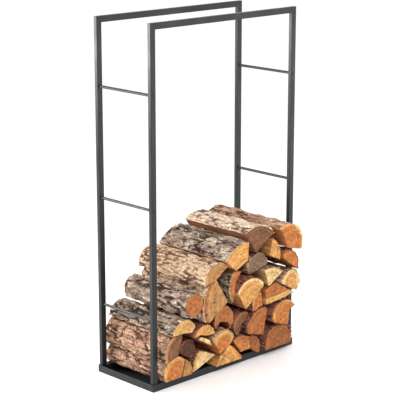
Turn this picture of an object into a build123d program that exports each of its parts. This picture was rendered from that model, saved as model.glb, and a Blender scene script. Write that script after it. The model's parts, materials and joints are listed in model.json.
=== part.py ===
from build123d import *
import os

# Firewood log rack: two welded frames of rectangular steel tube stand in a shallow folded tray and are held
# apart by six round rungs, and split logs lie front to back in the bay between the posts.
# Millimetres. The origin is the middle of the tray's underside, on the floor. +X is to the right, +Y is to the
# rear and +Z is up.

# ---- overall size
width = 840.0  # tray, outside
depth = 345.0  # tray, outside
height = 1500.0  # floor to the top of the frames

# ---- tray: one folded sheet with welded corners
sheet = 3.0
bend_radius = 1.0  # inside the fold
corner_radius = 5.0  # outside, seen from above
lip_cover = 2.0  # how far the lip stands above the frames' bottom bars
lip_edge_radius = 0.8
frame_fit = 1.0  # room between the frames and the start of the tray's folds

# ---- frames: rectangular tube, mitred and welded at the four corners
tube_face = 26.0  # across the face that is seen from the front
tube_side = 18.0  # front to back
tube_wall = 1.5
tube_radius = 2.0

# ---- rungs: round bar, tapped at both ends
rung_diameter = 12.0
rung_heights = {"low": 300.0, "middle": 757.0, "high": 1218.0}
tap_depth = 14.0

# ---- rung screws: M6 button heads with a hexagon socket
rung_thread = 6.0
rung_thread_length = 12.0  # of the screw, inside the rung
button_diameter = 10.5
button_height = 3.3
button_dome = 2.4
button_socket = 4.0  # across flats
button_socket_depth = 2.1

# ---- base screws: M5 countersunk, up through the tray into weld nuts inside the bottom bars
base_thread = 5.0
base_head_diameter = 10.0
base_screw_length = 13.0
base_socket = 3.0  # across flats
base_socket_depth = 1.6
base_screw_inset = 70.0  # from the outside of the posts
nut_across_flats = 8.0
nut_height = 4.0

# ---- clearances
screw_clearance = 0.5  # on diameter, plain holes
thread_clearance = 0.1  # on diameter, tapped holes
log_gap = 1.6  # how far a log's corners are drawn back from its neighbours and the rack

# ---- what follows from those sizes
fold = sheet + bend_radius
lip_height = sheet + tube_face + lip_cover
frame_half_width = width / 2 - fold - frame_fit
frame_width = 2 * frame_half_width
frame_height = height - sheet
front_y = -depth / 2 + fold + frame_fit + tube_side / 2
rear_y = -front_y
post_x = frame_half_width - tube_face / 2
bay_half_width = frame_half_width - tube_face
rung_length = rear_y - front_y - tube_side
base_screw_xs = (base_screw_inset - frame_half_width, 0, frame_half_width - base_screw_inset)


def tray():
    pan = Pos(0, 0, lip_height / 2) * Box(width, depth, lip_height)
    pan = fillet(pan.edges().filter_by(Axis.Z), corner_radius)
    pan = fillet(pan.faces().sort_by(Axis.Z)[0].edges(), fold)
    hollow = Pos(0, 0, sheet + lip_height / 2) * Box(width - 2 * sheet, depth - 2 * sheet, lip_height)
    hollow = fillet(hollow.edges().filter_by(Axis.Z), corner_radius - sheet)
    hollow = fillet(hollow.faces().sort_by(Axis.Z)[0].edges(), bend_radius)
    pan = pan - hollow
    pan = fillet(pan.faces().sort_by(Axis.Z)[-1].edges(), lip_edge_radius)
    sink_depth = (base_head_diameter - base_thread - screw_clearance) / 2
    for x in base_screw_xs:
        for y in (front_y, rear_y):
            sink = Pos(x, y, sink_depth / 2) * Cone(
                base_head_diameter / 2, (base_thread + screw_clearance) / 2, sink_depth
            )
            hole = Pos(x, y, sheet / 2) * Cylinder((base_thread + screw_clearance) / 2, 2 * sheet)
            pan = pan - sink - hole
    return pan


def mitred_tube(length):
    """A tube standing on end, outer face at x = 0, both ends cut at 45 degrees so that this face is longest."""
    outside = RectangleRounded(tube_face, tube_side, tube_radius)
    inside = RectangleRounded(
        tube_face - 2 * tube_wall, tube_side - 2 * tube_wall, max(tube_radius - tube_wall, 0.3)
    )
    tube = extrude(Pos(tube_face / 2, 0) * (outside - inside), length)
    mitre = Polyline(
        (0, 0), (0, length), (tube_face, length - tube_face), (tube_face, tube_face), close=True
    )
    return tube & extrude(make_face(Plane.XZ * mitre), tube_side, both=True)


def screw_hole(x, y, z):
    radius = (rung_thread + screw_clearance) / 2
    return Pos(x, y, z) * Rot(90, 0, 0) * Cylinder(radius, 2 * tube_side)


def frame(side, y):
    """The four tubes of one frame, by node name."""
    left = Pos(-frame_half_width, y, sheet) * mitred_tube(frame_height)
    right = Pos(frame_half_width, y, sheet) * Rot(0, 0, 180) * mitred_tube(frame_height)
    for z in rung_heights.values():
        left = left - screw_hole(-post_x, y, z)
        right = right - screw_hole(post_x, y, z)
    top = Pos(-frame_half_width, y, height) * Rot(0, 90, 0) * mitred_tube(frame_width)
    bottom = Pos(frame_half_width, y, sheet) * Rot(0, -90, 0) * mitred_tube(frame_width)
    for x in base_screw_xs:
        bottom = bottom - Pos(x, y, sheet) * Cylinder((base_thread + screw_clearance) / 2, 4 * tube_wall)
    return {
        f"{side}_left_post": left,
        f"{side}_right_post": right,
        f"{side}_top_bar": top,
        f"{side}_bottom_bar": bottom,
    }


def rung():
    """A rung along Y, its middle at the origin, with a tapped hole in each end."""
    bar = Cylinder(rung_diameter / 2, rung_length)
    bar = chamfer(bar.edges(), 0.5)
    tap_radius = (rung_thread + thread_clearance) / 2
    for end in (-1, 1):
        bar = bar - Pos(0, 0, end * (rung_length - tap_depth) / 2) * Cylinder(tap_radius, tap_depth)
    return Rot(90, 0, 0) * bar


def button_screw():
    """A button-head screw pointing along -Z, the underside of its head at z = 0."""
    head = Pos(0, 0, button_height / 2) * Cylinder(button_diameter / 2, button_height)
    head = fillet(head.edges().sort_by(Axis.Z)[-1], button_dome)
    socket = RegularPolygon(button_socket / 2, 6, major_radius=False)
    head = head - Pos(0, 0, button_height - button_socket_depth) * extrude(socket, button_height)
    length = tube_side + rung_thread_length
    return head + Pos(0, 0, -length / 2) * Cylinder(rung_thread / 2, length)


def countersunk_screw():
    """A countersunk screw pointing along +Z, the flat of its head at z = 0."""
    head_height = (base_head_diameter - base_thread) / 2
    head = Pos(0, 0, head_height / 2) * Cone(base_head_diameter / 2, base_thread / 2, head_height)
    shank = Pos(0, 0, base_screw_length / 2) * Cylinder(base_thread / 2, base_screw_length)
    socket = RegularPolygon(base_socket / 2, 6, major_radius=False)
    return head + shank - extrude(socket, base_socket_depth)


def weld_nut():
    """A hexagon nut standing on z = 0."""
    hexagon = RegularPolygon(nut_across_flats / 2, 6, major_radius=False)
    return extrude(hexagon - Circle((base_thread + thread_clearance) / 2), nut_height)


# ---- the load
# Split logs, every one a length of a round trunk cut down its grain, so each section has one curved side of bark
# and one to five split corners. Sections are drawn for a bay of drawn_bay, across from the left posts' inner face
# and up from the lip that they lie on, and are enlarged or reduced with the bay so that they still fill it.
# A row is: how far the log stands out in front of the lip, how far past the rear of the tray, three points along
# its bark, and its split corners.
drawn_bay = 778.0
logs = {
    "log_01": (14, 4, [(22, 0), (46, 90), (138, 78)], [(116, 0)]),
    "log_02": (17, 9, [(141, 77), (170, 51), (177, 0)], [(118, 0)]),
    "log_03": (12, 2, [(181, 0), (184, 48), (216, 93)], [(320, 49)]),
    "log_04": (30, 12, [(382, 87), (430, 46), (464, 0)], [(301, 0), (325, 42)]),
    "log_05": (34, 5, [(391, 99), (446, 108), (502, 92)], [(505, 34), (447, 32)]),
    "log_06": (26, 10, [(506, 91), (557, 74), (574, 0)], [(553, 0), (509, 32)]),
    "log_07": (36, 3, [(596, 0), (632, 92), (722, 90)], [(765, 74), (765, 0)]),
    "log_08": (30, 6, [(14, 84), (15, 150), (50, 195)], [(111, 194), (84, 105)]),
    "log_09": (40, 11, [(38, 199), (112, 263), (176, 216)], [(152, 190), (108, 197)]),
    "log_10": (40, 0, [(159, 162), (225, 213), (289, 156)], [(247, 155), (202, 168)]),
    "log_11": (33, 7, [(192, 148), (228, 124), (276, 98)], [(262, 133), (212, 160)]),
    "log_12": (42, 8, [(268, 131), (331, 166), (400, 125)], [(379, 91), (313, 57)]),
    "log_13": (24, 1, [(300, 166), (350, 258), (402, 160)], [(393, 142), (376, 180), (330, 192), (313, 172)]),
    "log_14": (26, 13, [(420, 110), (434, 200), (504, 198)], [(482, 168), (458, 154), (440, 112)]),
    "log_15": (40, 4, [(475, 124), (527, 200), (604, 200)], [(579, 78), (479, 103)]),
    "log_16": (57, 9, [(610, 148), (673, 219), (764, 176)], [(728, 168), (716, 97), (632, 120)]),
    "log_17": (60, -28, [(120, 266), (97, 340), (199, 334)], [(188, 246)]),
    "log_18": (48, 2, [(215, 222), (206, 300), (240, 387)], [(286, 393), (354, 281), (244, 211)]),
    "log_19": (50, 10, [(374, 266), (353, 335), (382, 410)], [(430, 400), (397, 358), (388, 300)]),
    "log_20": (60, 6, [(393, 316), (479, 364), (558, 328)], [(555, 308), (447, 226)]),
    "log_21": (44, 0, [(512, 268), (497, 232), (511, 197)], [(545, 212), (568, 213), (558, 291)]),
    "log_22": (58, 12, [(756, 236), (672, 222), (572, 216)], [(564, 290), (633, 309)]),
    "log_23": (60, 3, [(557, 383), (620, 382), (680, 350)], [(588, 299)]),
    "log_24": (70, 7, [(654, 299), (738, 351), (756, 246)], []),
    "log_25": (66, -2, [(199, 383), (235, 463), (333, 443)], [(264, 395)]),
    "log_26": (72, -8, [(310, 471), (375, 523), (454, 532)], [(447, 446), (374, 413)]),
    "log_27": (46, 8, [(467, 386), (531, 462), (598, 404)], [(594, 394), (480, 369)]),
    "log_28": (64, 1, [(604, 514), (647, 476), (655, 402)], [(584, 439)]),
    "log_29": (72, 9, [(664, 444), (735, 433), (760, 342)], [(662, 411)]),
    "log_30": (60, -40, [(435, 561), (519, 585), (624, 531)], [(579, 511), (507, 463)]),
    "log_31": (85, 6, [(622, 556), (729, 554), (769, 432)], [(672, 457), (653, 514)]),
    "log_32": (4, 8, [(118, 101), (140, 150), (196, 141)], [(211, 98), (178, 60), (146, 80)]),
}


def split_log(overhang, reach, bark, split_corners):
    """One log, its section drawn in towards its own middle so that it clears its neighbours."""
    bay_scale = 2 * bay_half_width / drawn_bay
    corners = [Vector(x, z) * bay_scale for x, z in bark + split_corners]
    middle = sum(corners, Vector()) / len(corners)
    drawn_in = 1 - log_gap / max((corner - middle).length for corner in corners)
    corners = [middle + (corner - middle) * drawn_in for corner in corners]
    outline = ThreePointArc(*corners[:3]) + Polyline(corners[2:] + corners[:1])
    rear_end = Plane(origin=(-bay_half_width, depth / 2 + reach, lip_height), x_dir=(1, 0, 0), z_dir=(0, -1, 0))
    return extrude(rear_end * make_face(outline), depth + overhang + reach)


# ---- every piece by name
pieces = {"tray": tray()}
pieces.update(frame("front", front_y))
pieces.update(frame("rear", rear_y))

for side, x in (("left", -post_x), ("right", post_x)):
    for level, z in rung_heights.items():
        pieces[f"{side}_rung_{level}"] = Pos(x, 0, z) * rung()

rung_screws = []
for x in (-post_x, post_x):
    for z in rung_heights.values():
        rung_screws.append(Pos(x, front_y - tube_side / 2, z) * Rot(90, 0, 0) * button_screw())
        rung_screws.append(Pos(x, rear_y + tube_side / 2, z) * Rot(-90, 0, 0) * button_screw())
pieces["rung_screws"] = Compound(children=rung_screws)

base_places = [(x, y) for x in base_screw_xs for y in (front_y, rear_y)]
pieces["base_screws"] = Compound(children=[Pos(x, y, 0) * countersunk_screw() for x, y in base_places])
pieces["base_nuts"] = Compound(children=[Pos(x, y, sheet + tube_wall) * weld_nut() for x, y in base_places])

for name, row in logs.items():
    pieces[name] = split_log(*row)

os.makedirs("parts", exist_ok=True)
for name, piece in pieces.items():
    export_step(piece, f"parts/{name}.step")
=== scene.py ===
import json
import math

import bpy
import numpy as np
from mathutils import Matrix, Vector


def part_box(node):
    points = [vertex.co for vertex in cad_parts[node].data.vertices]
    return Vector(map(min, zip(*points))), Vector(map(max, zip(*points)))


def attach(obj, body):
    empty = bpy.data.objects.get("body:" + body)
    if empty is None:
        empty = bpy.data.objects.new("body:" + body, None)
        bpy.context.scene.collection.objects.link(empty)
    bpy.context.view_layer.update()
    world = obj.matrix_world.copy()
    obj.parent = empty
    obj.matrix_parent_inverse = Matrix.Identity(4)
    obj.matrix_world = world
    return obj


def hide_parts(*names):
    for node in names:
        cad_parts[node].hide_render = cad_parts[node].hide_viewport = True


# Looks for the firewood log rack: powder-coated steel, its screws, and the split logs stacked in it.
# Metres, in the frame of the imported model: +X right, +Y rear, +Z up, the floor at z = 0.
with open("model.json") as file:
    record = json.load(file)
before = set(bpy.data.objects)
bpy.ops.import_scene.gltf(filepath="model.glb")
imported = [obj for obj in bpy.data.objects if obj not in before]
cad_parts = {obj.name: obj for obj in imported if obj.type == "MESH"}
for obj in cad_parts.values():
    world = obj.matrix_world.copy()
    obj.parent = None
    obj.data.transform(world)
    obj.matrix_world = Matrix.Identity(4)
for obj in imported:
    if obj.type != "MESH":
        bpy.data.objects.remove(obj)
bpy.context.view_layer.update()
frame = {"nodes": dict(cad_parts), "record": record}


# ---- Tray
# A shallow pan folded from 3 mm steel sheet, its corners welded and ground. It is powder coated in satin
# anthracite with a fine texture. The frames stand in it and are screwed down from below.
def put(tree, kind, settings=None, **values):
    """Adds a shader node. A value that is a socket is linked, and any other is set on the node.

    Inputs go by name, or by number as i0, i1 and so on.
    """
    made = tree.nodes.new("ShaderNode" + kind)
    for key, value in (settings or {}).items():
        setattr(made, key, value)
    for key, value in values.items():
        socket = made.inputs[int(key[1:]) if key[1:].isdigit() else key.replace("_", " ")]
        if isinstance(value, bpy.types.NodeSocket):
            tree.links.new(value, socket)
        else:
            socket.default_value = value
    return made


def number(tree, operation, *values):
    """The output of a Math node."""
    inputs = {f"i{place}": value for place, value in enumerate(values)}
    return put(tree, "Math", {"operation": operation}, **inputs).outputs[0]


def add(tree, first, second):
    return number(tree, "ADD", first, second)


def subtract(tree, first, second):
    return number(tree, "SUBTRACT", first, second)


def times(tree, first, second):
    return number(tree, "MULTIPLY", first, second)


def ramp(tree, value, start, end, low=0.0, high=1.0):
    """Low where value is below start, high where it is past end, with a smooth step between."""
    limits = {"From_Min": start, "From_Max": end, "To_Min": low, "To_Max": high}
    smooth = {"interpolation_type": "SMOOTHSTEP"}
    return put(tree, "MapRange", smooth, Value=value, **limits).outputs["Result"]


def noise(tree, place, scale, detail=2.0, roughness=0.5, stretch=(1.0, 1.0, 1.0)):
    """Noise from 0 to 1 with scale features in a metre, drawn out where stretch is under 1."""
    if stretch != (1.0, 1.0, 1.0):
        place = put(tree, "VectorMath", {"operation": "MULTIPLY"}, i0=place, i1=stretch).outputs[0]
    made = put(tree, "TexNoise", Vector=place, Scale=scale, Detail=detail, Roughness=roughness)
    return made.outputs["Fac"]


def mix(tree, share, first, second, kind="MIX"):
    """First where share is 0 and second where it is 1, for colours."""
    made = put(tree, "Mix", {"data_type": "RGBA", "blend_type": kind}, i0=share, i6=first, i7=second)
    return made.outputs[2]


def shade(tree, colour, factor):
    """A colour made darker or lighter by a factor."""
    grey = put(tree, "CombineXYZ", X=factor, Y=factor, Z=factor).outputs[0]
    return mix(tree, 1.0, colour, grey, "MULTIPLY")


def new_group(name, inputs, outputs):
    """An empty node group with its named sockets. Returns the group, its inputs and its output node."""
    group = bpy.data.node_groups.new(name, "ShaderNodeTree")
    for direction, sockets in (("INPUT", inputs), ("OUTPUT", outputs)):
        for label, kind in sockets.items():
            group.interface.new_socket(label, in_out=direction, socket_type="NodeSocket" + kind)
    return group, group.nodes.new("NodeGroupInput").outputs, group.nodes.new("NodeGroupOutput")


def use_group(tree, group, **values):
    """Places a node group in a material and returns its outputs."""
    return put(tree, "Group", {"node_tree": group}, **values).outputs


def new_material(name):
    """A material. Returns it with its tree, its Principled shader and its object coordinates."""
    material = bpy.data.materials.new(name)
    material.use_nodes = True
    tree = material.node_tree
    return material, tree, tree.nodes["Principled BSDF"], put(tree, "TexCoord").outputs["Object"]


def relief(tree, shader, height, distance):
    """Feeds a height, at full scale distance metres, to a shader's normal."""
    tree.links.new(put(tree, "Bump", Height=height, Distance=distance).outputs[0], shader.inputs["Normal"])


# what every finish gives the shader
surface_outputs = {"Colour": "Color", "Roughness": "Float", "Height": "Float"}

coat_group, coat_in, coat_out = new_group(
    "powder_coat",
    {"Place": "Vector", "Paint": "Color", "Grain": "Float", "Scuffing": "Float", "Gloss": "Float"},
    surface_outputs,
)
place = coat_in["Place"]
grain = noise(coat_group, place, scale=coat_in["Grain"])
cloud = noise(coat_group, place, scale=7.0, detail=4.0)
scratch = noise(coat_group, place, scale=46.0, detail=9.0, roughness=0.7, stretch=(1.0, 1.0, 0.35))
scuff = times(coat_group, ramp(coat_group, scratch, 0.62, 0.72), coat_in["Scuffing"])
patchy = ramp(coat_group, cloud, 0.3, 0.7, 0.86, 1.1)
speckle = ramp(coat_group, grain, 0.3, 0.7, -0.06, 0.06)
paint = shade(coat_group, coat_in["Paint"], add(coat_group, patchy, speckle))
rubbed_paint = (0.09, 0.093, 0.093, 1.0)
coat_group.links.new(mix(coat_group, scuff, paint, rubbed_paint), coat_out.inputs["Colour"])
dull = subtract(coat_group, 1.0, coat_in["Gloss"])
smear = ramp(coat_group, cloud, 0.35, 0.65, -0.05, 0.07)
coat_group.links.new(add(coat_group, dull, smear), coat_out.inputs["Roughness"])
coat_group.links.new(grain, coat_out.inputs["Height"])


def coated_steel(name, paint, grain_size, scuffing, gloss):
    """Powder-coated steel. Grain size is in metres, and scuffing and gloss are from 0 to 1."""
    material, tree, shader, place = new_material(name)
    coat = use_group(
        tree, coat_group, Place=place, Paint=paint, Grain=1 / grain_size, Scuffing=scuffing, Gloss=gloss
    )
    tree.links.new(coat["Colour"], shader.inputs["Base Color"])
    tree.links.new(coat["Roughness"], shader.inputs["Roughness"])
    relief(tree, shader, coat["Height"], distance=0.00012)
    shader.inputs["Specular IOR Level"].default_value = 0.28
    return material


def finish_node(node, material):
    """Gives a CAD node its material."""
    slots = frame["nodes"][node].data.materials
    slots.clear()
    slots.append(material)


anthracite = (0.011, 0.013, 0.014, 1.0)
finish_node("tray", coated_steel("coated_sheet", anthracite, grain_size=0.0016, scuffing=0.5, gloss=0.60))

# ---- Frames
# Two rectangles of 26 by 18 mm steel tube, mitred and welded at the corners, the welds ground flush. They
# are coated like the tray, and the coat is rubbed a little where logs are loaded.
tube_coat = coated_steel("coated_tube", anthracite, grain_size=0.0014, scuffing=0.35, gloss=0.66)
for side in ("front", "rear"):
    for bar in ("left_post", "right_post", "top_bar", "bottom_bar"):
        finish_node(f"{side}_{bar}", tube_coat)

# ---- Rungs
# Six lengths of 12 mm round bar between the frames, three at each side, tapped at both ends for a screw.
# They are coated like the frames, and the coat lies thinner and smoother on round bar.
thin_anthracite = (0.020, 0.022, 0.023, 1.0)
rung_coat = coated_steel("coated_bar", thin_anthracite, grain_size=0.0011, scuffing=0.4, gloss=0.72)
for side in ("left", "right"):
    for level in ("low", "middle", "high"):
        finish_node(f"{side}_rung_{level}", rung_coat)

# ---- Screws and nuts
# Black button-head screws hold the rungs through the posts. Bright zinc countersunk screws under the tray
# and weld nuts inside the bottom bars hold the frames down. All are turned and plated steel.
plate_group, plate_in, plate_out = new_group(
    "plated_steel", {"Place": "Vector", "Bright": "Color", "Dark": "Color"}, surface_outputs
)
blotch = noise(plate_group, plate_in["Place"], scale=260.0, detail=4.0)
turned = noise(plate_group, plate_in["Place"], scale=2600.0)
plated = mix(plate_group, ramp(plate_group, blotch, 0.35, 0.65), plate_in["Bright"], plate_in["Dark"])
plate_group.links.new(plated, plate_out.inputs["Colour"])
plate_group.links.new(ramp(plate_group, blotch, 0.3, 0.7, 0.26, 0.44), plate_out.inputs["Roughness"])
plate_group.links.new(turned, plate_out.inputs["Height"])


def plated_steel(name, bright, dark):
    """Plated steel with a blotchy passivated finish."""
    material, tree, shader, place = new_material(name)
    plate = use_group(tree, plate_group, Place=place, Bright=bright, Dark=dark)
    shader.inputs["Metallic"].default_value = 1.0
    tree.links.new(plate["Colour"], shader.inputs["Base Color"])
    tree.links.new(plate["Roughness"], shader.inputs["Roughness"])
    relief(tree, shader, plate["Height"], distance=0.00003)
    return material


black_zinc = plated_steel("black_zinc", bright=(0.10, 0.10, 0.11, 1.0), dark=(0.035, 0.035, 0.04, 1.0))
bright_zinc = plated_steel("bright_zinc", bright=(0.72, 0.73, 0.75, 1.0), dark=(0.45, 0.47, 0.5, 1.0))
finish_node("rung_screws", black_zinc)
finish_node("base_screws", bright_zinc)
finish_node("base_nuts", bright_zinc)

# ---- Split logs
# Lengths of trunk about 40 cm long, sawn square and split down the grain with an axe. Each has rough bark on
# its one curved side, torn fibres on its split sides and rings on its sawn ends. They are laid in loose.
voxel = 0.0030  # the faces that the wood is carved from
bark_thickness = 0.0062
saw_edge = 0.0024  # how far a sawn end's look reaches round its edge
swell_depth = 0.010  # how far a log's sides go in and out along its length
hack_depth = 0.0042  # hollows and steps that the axe leaves on a split side
tear_depth = 0.0022  # torn fibres
saw_depth = 0.0012  # waves that the saw leaves on an end
plate_share = 0.55  # of a bark's crevice depth that lies between its plates
crumb_share = 0.75  # and that lies in its crumbs
end_skin = 0.001  # the carving of the ends goes this far in, and fades out over end_fade
end_fade = 0.002
bark_reach = 0.0065  # the carving of the bark goes this far in, and fades out over bark_fade before that
bark_fade = 0.004
pattern_step = (0.37, 0.21, 0.13)  # how far the carving's pattern moves from one log to the next
crease_angle = math.radians(42)

# heartwood or sapwood, by its colour on a fresh face, except the last, which is painted shade: a colour
# darkened to stand for the shadow over a log set back in the pile
woods = {
    "amber": (0.61, 0.295, 0.088, 1.0),
    "orange": (0.49, 0.17, 0.044, 1.0),
    "rust": (0.385, 0.13, 0.036, 1.0),
    "honey": (0.57, 0.32, 0.105, 1.0),
    "cream": (0.69, 0.465, 0.205, 1.0),
    "tan": (0.41, 0.20, 0.068, 1.0),
    "umber": (0.31, 0.105, 0.032, 1.0),
    "cocoa": (0.19, 0.083, 0.037, 1.0),
    "ash": (0.20, 0.122, 0.07, 1.0),
    # painted shade: a near-black brown standing in for the shadow that falls on log_32, set back in the pile
    "painted_shade_brown": (0.09, 0.035, 0.018, 1.0),
}
# ridge colour, crevice colour, colour of its patches, share of patches, plate size, crevice depth
barks = {
    "rosy": ((0.27, 0.135, 0.08), (0.048, 0.017, 0.010), (0.60, 0.41, 0.28), 0.44, 0.026, 0.0050),
    "beige": ((0.40, 0.255, 0.155), (0.085, 0.038, 0.021), (0.60, 0.45, 0.31), 0.45, 0.020, 0.0040),
    "lichen": ((0.175, 0.105, 0.07), (0.020, 0.009, 0.007), (0.60, 0.51, 0.40), 0.43, 0.028, 0.0064),
    "pale": ((0.45, 0.30, 0.20), (0.10, 0.048, 0.03), (0.70, 0.56, 0.42), 0.50, 0.034, 0.0040),
    "ruddy": ((0.26, 0.10, 0.06), (0.045, 0.014, 0.010), (0.42, 0.24, 0.17), 0.3, 0.014, 0.0040),
}
# for each log: its heartwood, its sapwood, how deep the sapwood goes, and its bark
looks = {
    "log_01": ("orange", "amber", 0.020, "rosy"),
    "log_02": ("tan", "tan", 0.012, "rosy"),
    "log_03": ("cream", "honey", 0.016, "ruddy"),
    "log_04": ("amber", "orange", 0.010, "ruddy"),
    "log_05": ("orange", "rust", 0.014, "ruddy"),
    "log_06": ("umber", "umber", 0.010, "ruddy"),
    "log_07": ("umber", "rust", 0.012, "ruddy"),
    "log_08": ("cocoa", "tan", 0.014, "rosy"),
    "log_09": ("honey", "honey", 0.012, "lichen"),
    "log_10": ("amber", "amber", 0.010, "ruddy"),
    "log_11": ("cream", "cream", 0.010, "ruddy"),
    "log_12": ("orange", "honey", 0.026, "rosy"),
    "log_13": ("rust", "tan", 0.010, "ruddy"),
    "log_14": ("cocoa", "umber", 0.012, "ruddy"),
    "log_15": ("rust", "rust", 0.012, "ruddy"),
    "log_16": ("orange", "amber", 0.014, "ruddy"),
    "log_17": ("rust", "umber", 0.008, "lichen"),
    "log_18": ("tan", "rust", 0.020, "beige"),
    "log_19": ("rust", "orange", 0.012, "lichen"),
    "log_20": ("amber", "cream", 0.016, "ruddy"),
    "log_21": ("orange", "amber", 0.012, "ruddy"),
    "log_22": ("rust", "honey", 0.030, "ruddy"),
    "log_23": ("cream", "cream", 0.012, "rosy"),
    "log_24": ("amber", "cream", 0.020, "rosy"),
    "log_25": ("tan", "tan", 0.014, "beige"),
    "log_26": ("amber", "amber", 0.012, "lichen"),
    "log_27": ("ash", "ash", 0.010, "rosy"),
    "log_28": ("amber", "amber", 0.012, "ruddy"),
    "log_29": ("orange", "rust", 0.014, "ruddy"),
    "log_30": ("cocoa", "cocoa", 0.016, "pale"),
    "log_31": ("orange", "amber", 0.014, "rosy"),
    # log_32's wood is painted shade, darkened for the shadow over a log set back in the pile
    "log_32": ("painted_shade_brown", "painted_shade_brown", 0.012, "ruddy"),
}

# where a point of the wood lies in the trunk, whose pith is on the Y axis of Place
zone_group, zone_in, zone_out = new_group(
    "wood_zones",
    {"Place": "Vector", "Depth": "Float", "Length": "Float"},
    {"Radius": "Float", "Depth": "Float", "Bark": "Float", "End": "Float"},
)
bark_blur = 0.001
saw_blur = 0.0006
ragged_depth = 0.0045  # how far the bark's inner edge wanders
wobble_depth = 0.016  # how far the annual rings wander
place = zone_in["Place"]
axes = put(zone_group, "SeparateXYZ", Vector=place).outputs
across = put(zone_group, "CombineXYZ", X=axes["X"], Z=axes["Z"]).outputs[0]
radius = put(zone_group, "VectorMath", {"operation": "LENGTH"}, i0=across).outputs["Value"]
ragged = subtract(zone_group, noise(zone_group, place, scale=160.0, detail=3.0), 0.5)
bark_edge = add(zone_group, zone_in["Depth"], times(zone_group, ragged, ragged_depth))
barked = ramp(zone_group, bark_edge, bark_thickness - bark_blur, bark_thickness, 1.0, 0.0)
from_end = number(zone_group, "MINIMUM", axes["Y"], subtract(zone_group, zone_in["Length"], axes["Y"]))
sawn = ramp(zone_group, from_end, saw_edge, saw_edge + saw_blur, 1.0, 0.0)
wobble = noise(zone_group, place, scale=14.0, detail=3.0, stretch=(1.0, 0.2, 1.0))
wobble = times(zone_group, subtract(zone_group, wobble, 0.5), wobble_depth)
zone_group.links.new(add(zone_group, radius, wobble), zone_out.inputs["Radius"])
zone_group.links.new(add(zone_group, zone_in["Depth"], wobble), zone_out.inputs["Depth"])
zone_group.links.new(barked, zone_out.inputs["Bark"])
zone_group.links.new(sawn, zone_out.inputs["End"])

# a sawn end: annual rings round the pith, radial drying checks, and the saw's strokes
wood_inputs = {"Place": "Vector", "Depth": "Float", "Heart": "Color", "Sap": "Color", "Sap Depth": "Float"}
end_group, end_in, end_out = new_group("sawn_end", {"Radius": "Float", **wood_inputs}, surface_outputs)
place = end_in["Place"]
axes = put(end_group, "SeparateXYZ", Vector=place).outputs
ring_place = put(end_group, "CombineXYZ", X=end_in["Radius"]).outputs[0]
broad_rings = noise(end_group, ring_place, scale=95.0, detail=3.0, roughness=0.6)
fine_rings = noise(end_group, ring_place, scale=520.0, roughness=0.6)
checks_round = times(end_group, number(end_group, "ARCTAN2", axes["Z"], axes["X"]), 6.0)
checks_out = times(end_group, end_in["Radius"], 5.0)
check_place = put(end_group, "CombineXYZ", X=checks_round, Y=checks_out).outputs[0]
rays = subtract(end_group, noise(end_group, check_place, scale=1.0, roughness=0.55), 0.5)
check = ramp(end_group, number(end_group, "ABSOLUTE", rays), 0.004, 0.014, 1.0, 0.0)
check = times(end_group, check, ramp(end_group, noise(end_group, place, scale=24.0), 0.46, 0.6))
strokes = noise(end_group, place, scale=230.0, detail=4.0, roughness=0.6, stretch=(1.0, 1.0, 0.12))
mottle = noise(end_group, place, scale=42.0, detail=6.0, roughness=0.7)
into_heart = subtract(end_group, end_in["Depth"], end_in["Sap Depth"])
wood = mix(end_group, ramp(end_group, into_heart, -0.003, 0.004), end_in["Sap"], end_in["Heart"])
tone = ramp(end_group, broad_rings, 0.32, 0.68, 0.68, 1.16)
tone = times(end_group, tone, ramp(end_group, fine_rings, 0.3, 0.7, 0.84, 1.08))
tone = times(end_group, tone, ramp(end_group, mottle, 0.32, 0.68, 0.60, 1.28))
tone = times(end_group, tone, ramp(end_group, strokes, 0.3, 0.7, 0.93, 1.05))
tone = times(end_group, tone, subtract(end_group, 1.0, times(end_group, check, 0.72)))
end_group.links.new(shade(end_group, wood, tone), end_out.inputs["Colour"])
end_group.links.new(ramp(end_group, mottle, 0.3, 0.7, 0.74, 0.9), end_out.inputs["Roughness"])
rough_saw = add(end_group, times(end_group, strokes, 0.5), times(end_group, fine_rings, 0.25))
end_group.links.new(subtract(end_group, rough_saw, check), end_out.inputs["Height"])

# a split side: fibres torn along the grain, darker and redder than the fresh ends
weathered_side = (0.27, 0.085, 0.035, 1.0)
side_group, side_in, side_out = new_group("split_side", wood_inputs, surface_outputs)
place = side_in["Place"]
fibre = noise(side_group, place, scale=330.0, detail=5.0, roughness=0.65, stretch=(1.0, 0.045, 1.0))
tear = noise(side_group, place, scale=75.0, detail=4.0, roughness=0.6, stretch=(1.0, 0.09, 1.0))
stain = noise(side_group, place, scale=11.0, detail=4.0, roughness=0.6, stretch=(1.0, 0.5, 1.0))
into_heart = subtract(side_group, side_in["Depth"], side_in["Sap Depth"])
wood = mix(side_group, ramp(side_group, into_heart, -0.004, 0.006), side_in["Sap"], side_in["Heart"])
wood = mix(side_group, ramp(side_group, stain, 0.35, 0.7, 0.25, 0.8), wood, weathered_side)
tone = ramp(side_group, fibre, 0.3, 0.7, 0.62, 1.22)
tone = times(side_group, tone, ramp(side_group, tear, 0.32, 0.68, 0.62, 1.15))
side_group.links.new(shade(side_group, wood, tone), side_out.inputs["Colour"])
side_group.links.new(ramp(side_group, tear, 0.3, 0.7, 0.92, 0.78), side_out.inputs["Roughness"])
side_group.links.new(add(side_group, times(side_group, fibre, 0.6), tear), side_out.inputs["Height"])

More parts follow.
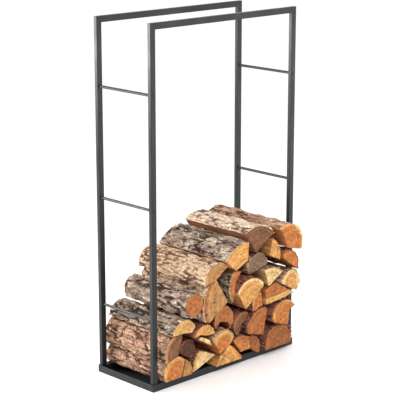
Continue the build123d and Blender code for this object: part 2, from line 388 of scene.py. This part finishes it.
# bark: ridges over dark crevices, with flaked or overgrown patches
plates_and_patches = {"Ridge": "Color", "Crevice": "Color", "Patch": "Color", "Patches": "Float"}
bark_group, bark_in, bark_out = new_group(
    "bark_skin", {"Place": "Vector", "Sunk": "Float", **plates_and_patches}, surface_outputs
)
place = bark_in["Place"]
flakes = noise(bark_group, place, scale=105.0, detail=8.0, roughness=0.74, stretch=(1.0, 0.5, 1.0))
flecks = noise(bark_group, place, scale=210.0, detail=6.0, roughness=0.75, stretch=(1.0, 0.7, 1.0))
islands = noise(bark_group, place, scale=34.0, detail=8.0, roughness=0.82, stretch=(1.0, 0.4, 1.0))
reaches = noise(bark_group, place, scale=13.0, detail=3.0, roughness=0.6, stretch=(1.0, 0.5, 1.0))
patch = ramp(bark_group, add(bark_group, islands, bark_in["Patches"]), 0.84, 1.14)
pits = times(bark_group, subtract(bark_group, 0.5, flakes), 1.5)
pits = add(bark_group, pits, ramp(bark_group, reaches, 0.38, 0.62, -0.28, 0.12))
crevices = ramp(bark_group, add(bark_group, bark_in["Sunk"], pits), 0.40, 0.95)
skin = mix(bark_group, patch, bark_in["Ridge"], bark_in["Patch"])
skin = shade(bark_group, skin, ramp(bark_group, flecks, 0.34, 0.66, 0.55, 1.38))
skin = shade(bark_group, skin, ramp(bark_group, flakes, 0.34, 0.66, 0.55, 1.32))
bark_group.links.new(mix(bark_group, crevices, skin, bark_in["Crevice"]), bark_out.inputs["Colour"])
bark_group.links.new(ramp(bark_group, flakes, 0.3, 0.7, 0.97, 0.84), bark_out.inputs["Roughness"])
bark_group.links.new(add(bark_group, flakes, times(bark_group, flecks, 0.35)), bark_out.inputs["Height"])


def log_material(name, heart, sap, sap_depth, bark, pith, front, length):
    """The wood and bark of one log, whose pith is at that (x, z) and whose front end is at that y."""
    ridge, crevice, patch, patches = barks[bark][:4]
    material, tree, shader, place = new_material(name)
    centred = put(tree, "Mapping", Vector=place, Location=(-pith[0], -front, -pith[1])).outputs[0]
    depth = put(tree, "Attribute", {"attribute_name": "under_bark"}).outputs["Fac"]
    sunk = put(tree, "Attribute", {"attribute_name": "sunk"}).outputs["Fac"]
    zones = use_group(tree, zone_group, Place=centred, Depth=depth, Length=length)
    tints = {"Heart": woods[heart], "Sap": woods[sap], "Sap_Depth": sap_depth}
    shared = {"Place": centred, "Depth": zones["Depth"]}
    end = use_group(tree, end_group, Radius=zones["Radius"], **shared, **tints)
    side = use_group(tree, side_group, **shared, **tints)
    colours = {"Ridge": (*ridge, 1.0), "Crevice": (*crevice, 1.0), "Patch": (*patch, 1.0)}
    skin = use_group(tree, bark_group, Place=centred, Sunk=sunk, Patches=patches, **colours)
    wood = mix(tree, zones["End"], side["Colour"], end["Colour"])
    tree.links.new(mix(tree, zones["Bark"], wood, skin["Colour"]), shader.inputs["Base Color"])
    whole = {}
    for output in ("Roughness", "Height"):
        bare = put(tree, "Mix", i0=zones["End"], i2=side[output], i3=end[output]).outputs[0]
        whole[output] = put(tree, "Mix", i0=zones["Bark"], i2=bare, i3=skin[output]).outputs[0]
    tree.links.new(whole["Roughness"], shader.inputs["Roughness"])
    relief(tree, shader, whole["Height"], distance=0.0016)
    shader.inputs["Specular IOR Level"].default_value = 0.25
    return material


def fresh_copy(node, name):
    """A copy of a CAD node with its doubles merged, alone selected and active."""
    copy = bpy.data.objects.new(name, frame["nodes"][node].data.copy())
    bpy.context.scene.collection.objects.link(copy)
    bpy.ops.object.select_all(action="DESELECT")
    copy.select_set(True)
    bpy.context.view_layer.objects.active = copy
    bpy.ops.object.mode_set(mode="EDIT")
    bpy.ops.mesh.select_all(action="SELECT")
    bpy.ops.mesh.remove_doubles(threshold=1e-5)
    bpy.ops.object.mode_set(mode="OBJECT")
    copy.data.materials.clear()
    return copy


def trunk_of(mesh):
    """The pith's place across the log, as (x, z), and the trunk's radius.

    The bark is the arc in the outline of the front end, so it is the longest run of edges of one length.
    """
    front = min(corner.co.y for corner in mesh.vertices)
    at_front = {corner.index for corner in mesh.vertices if corner.co.y < front + 1e-5}
    beside = {}
    for face in mesh.polygons:
        if abs(face.normal.y) < 0.5:
            for a, b in face.edge_keys:
                if a in at_front and b in at_front:
                    beside.setdefault(a, []).append(b)
                    beside.setdefault(b, []).append(a)
    start = min(beside)
    outline = [start, beside[start][0]]
    while outline[-1] != start:
        outline.append(next(corner for corner in beside[outline[-1]] if corner != outline[-2]))
    points = [Vector((mesh.vertices[i].co.x, mesh.vertices[i].co.z)) for i in outline[:-1]]
    count = len(points)
    sides = [(points[(i + 1) % count] - points[i]).length for i in range(count)]
    best = (0, 0)
    for i in range(count):
        run = 1
        while run < count and abs(sides[(i + run) % count] - sides[i]) < 0.02 * sides[i]:
            run += 1
        best = max(best, (run, i))
    run, i = best
    a, b, c = (points[(i + step) % count] for step in (0, run // 2, run))
    turn = 2 * ((b - a).x * (c - a).y - (b - a).y * (c - a).x)
    ab, ac = (b - a).length_squared, (c - a).length_squared
    pith = a + Vector(((c - a).y * ab - (b - a).y * ac, (b - a).x * ac - (c - a).x * ab)) / turn
    return pith, (a - pith).length


def places(mesh):
    """The places of a mesh's vertices, one row each."""
    flat = np.empty(len(mesh.vertices) * 3, np.float32)
    mesh.vertices.foreach_get("co", flat)
    return flat.reshape(-1, 3)


def remember(mesh, name, values):
    """Keeps a number for each vertex, for the material to read."""
    mesh.attributes.new(name, "FLOAT", "POINT").data.foreach_set("value", values.astype(np.float32))


def apply_modifier(piece, kind, **settings):
    """Adds a modifier to the active piece and applies it."""
    modifier = piece.modifiers.new(kind.lower(), kind)
    for key, value in settings.items():
        setattr(modifier, key, value)
    bpy.ops.object.modifier_apply(modifier=modifier.name)


def weigh(piece, name, weights):
    """A vertex group with those weights, rounded to tenths."""
    group = piece.vertex_groups.new(name=name)
    tenths = np.rint(weights * 10).astype(int)
    for step in range(1, 11):
        group.add(np.flatnonzero(tenths == step).tolist(), step / 10, "REPLACE")


def carve(piece, texture, group, depth, stretch, level=1.0):
    """Sinks the skin where the texture is darker than level, and raises it where it is lighter.

    Depth is what the darkest part would sink by at level 1. Stretch draws the texture out along the grain.
    """
    guide.scale = (1.0, stretch, 1.0)
    bpy.context.view_layer.update()
    apply_modifier(
        piece, "DISPLACE", texture=texture, vertex_group=group, strength=depth, mid_level=level,
        texture_coords="OBJECT", texture_coords_object=guide,
    )


def clouds(name, size, detail, contrast=1.0):
    """A cloudy texture for carving, with features of that size in metres."""
    texture = bpy.data.textures.new(name, "CLOUDS")
    texture.noise_scale = size
    texture.noise_depth = detail
    texture.contrast = contrast
    return texture


def plates(name, size):
    """Bark plates of that size in metres, with dark crevices between them."""
    texture = bpy.data.textures.new(name, "VORONOI")
    texture.noise_scale = size
    texture.noise_intensity = 7.0
    # the second nearest middle less the nearest: 0 on the line between two plates
    texture.weight_1 = -1.0
    texture.weight_2 = 1.0
    return texture


swell = clouds("swell", size=0.055, detail=1)
torn = clouds("torn_fibres", size=0.009, detail=2, contrast=1.4)
hacked = clouds("hacked", size=0.026, detail=2, contrast=1.3)
crumbs = clouds("bark_crumbs", size=0.016, detail=3, contrast=1.3)
crumbs.noise_type = "HARD_NOISE"
crumbs.intensity = 1.25
saw_cut = clouds("saw_cut", size=0.03, detail=1)
plate_textures = {name: plates(f"{name}_plates", bark[4]) for name, bark in barks.items()}
guide = bpy.data.objects.new("grain_guide", None)
bpy.context.scene.collection.objects.link(guide)


def split_log(node, order):
    """Carves one log from its CAD solid."""
    heart, sap, sap_depth, bark = looks[node]
    piece = fresh_copy(node, node.replace("log", "firewood"))
    pith, radius = trunk_of(piece.data)
    low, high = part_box(node)
    apply_modifier(piece, "REMESH", mode="VOXEL", voxel_size=voxel)
    apply_modifier(piece, "SMOOTH", factor=0.5, iterations=2)
    place = places(piece.data)
    depth = radius - np.hypot(place[:, 0] - pith.x, place[:, 2] - pith.y)
    from_end = np.minimum(place[:, 1] - low.y, high.y - place[:, 1])
    inner = np.clip((from_end - end_skin) / end_fade, 0, 1)
    barked = np.clip((bark_reach - depth) / bark_fade, 0, 1)
    weigh(piece, "ends", 1 - inner)
    weigh(piece, "sides", inner)
    weigh(piece, "bark", barked)
    weigh(piece, "split", (1 - barked) * inner)
    guide.location = [step * order for step in pattern_step]
    carve(piece, swell, "sides", swell_depth, stretch=3.0, level=0.5)
    carve(piece, hacked, "split", hack_depth, stretch=9.0, level=0.6)
    carve(piece, torn, "split", tear_depth, stretch=14.0)
    carve(piece, saw_cut, "ends", saw_depth, stretch=1.0)
    smooth_place = places(piece.data)
    crevice_depth = barks[bark][5]
    carve(piece, plate_textures[bark], "bark", crevice_depth * plate_share, stretch=3.4)
    carve(piece, crumbs, "bark", crevice_depth * crumb_share, stretch=2.2)
    sunk = np.linalg.norm(places(piece.data) - smooth_place, axis=1)
    remember(piece.data, "under_bark", depth)
    remember(piece.data, "sunk", sunk / crevice_depth)
    piece.vertex_groups.clear()
    bpy.ops.object.shade_smooth_by_angle(angle=crease_angle)
    wood = log_material(piece.name, heart, sap, sap_depth, bark, pith, low.y, high.y - low.y)
    piece.data.materials.append(wood)
    return piece


bodies = frame["record"]["behaviour"]["bodies"]
body_of_node = {node: body for body, nodes in bodies.items() for node in nodes}
for order, node in enumerate(sorted(looks), start=1):
    piece = split_log(node, order)
    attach(piece, body_of_node[node])
    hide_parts(node)
bpy.data.objects.remove(guide)

# ---- Studio
# A plain pale floor under a white surround. One large soft lamp stands high at the front left, and two
# smaller ones low at the front right and at the left. The camera looks down a little from the front left.
floor_size = 60.0
pale, paler = (0.90, 0.90, 0.895, 1.0), (0.93, 0.93, 0.925, 1.0)
bpy.ops.object.select_all(action="DESELECT")
bpy.ops.mesh.primitive_plane_add(size=floor_size)
floor = bpy.context.object
floor.name = "floor"
paper, tree, shader, place = new_material("pale_floor")
cloudy = noise(tree, place, scale=3.0, detail=3.0)
tree.links.new(mix(tree, cloudy, pale, paler), shader.inputs["Base Color"])
shader.inputs["Roughness"].default_value = 0.6
floor.data.materials.append(paper)


def soft_lamp(name, place, aim, size, power):
    """A square area lamp that points at aim."""
    lamp = bpy.data.lights.new(name, "AREA")
    lamp.size, lamp.energy = size, power
    holder = bpy.data.objects.new(name, lamp)
    holder.location = place
    holder.rotation_euler = (Vector(aim) - Vector(place)).to_track_quat("-Z", "Y").to_euler()
    bpy.context.scene.collection.objects.link(holder)


soft_lamp("key_lamp", (-1.6, -3.4, 3.6), aim=(0.0, 0.0, 0.5), size=2.0, power=130.0)
soft_lamp("fill_lamp", (2.7, -2.8, 0.6), aim=(0.0, 0.0, 0.6), size=1.0, power=15.0)
soft_lamp("left_lamp", (-1.9, 1.5, 1.2), aim=(-0.8, 0.55, 0.0), size=0.8, power=60.0)
world = bpy.data.worlds.new("surround")
world.use_nodes = True
world.node_tree.nodes["Background"].inputs["Color"].default_value = (1.0, 1.0, 1.0, 1.0)
world.node_tree.nodes["Background"].inputs["Strength"].default_value = 1.12
bpy.context.scene.world = world
bpy.context.scene.view_settings.view_transform = "Standard"

aim = Vector((0.006, -0.007, 0.704))
turn = math.radians(44.24)
rise = math.radians(14.06)
distance = 6.109
camera = bpy.data.objects.new("camera", bpy.data.cameras.new("camera"))
camera.data.lens = 130.3
camera.data.sensor_width = 36.0
towards_camera = Vector((-math.sin(turn) * math.cos(rise), -math.cos(turn) * math.cos(rise), math.sin(rise)))
camera.location = aim + distance * towards_camera
camera.rotation_euler = (math.pi / 2 - rise, 0.0, -turn)
bpy.context.scene.collection.objects.link(camera)
bpy.context.scene.camera = camera
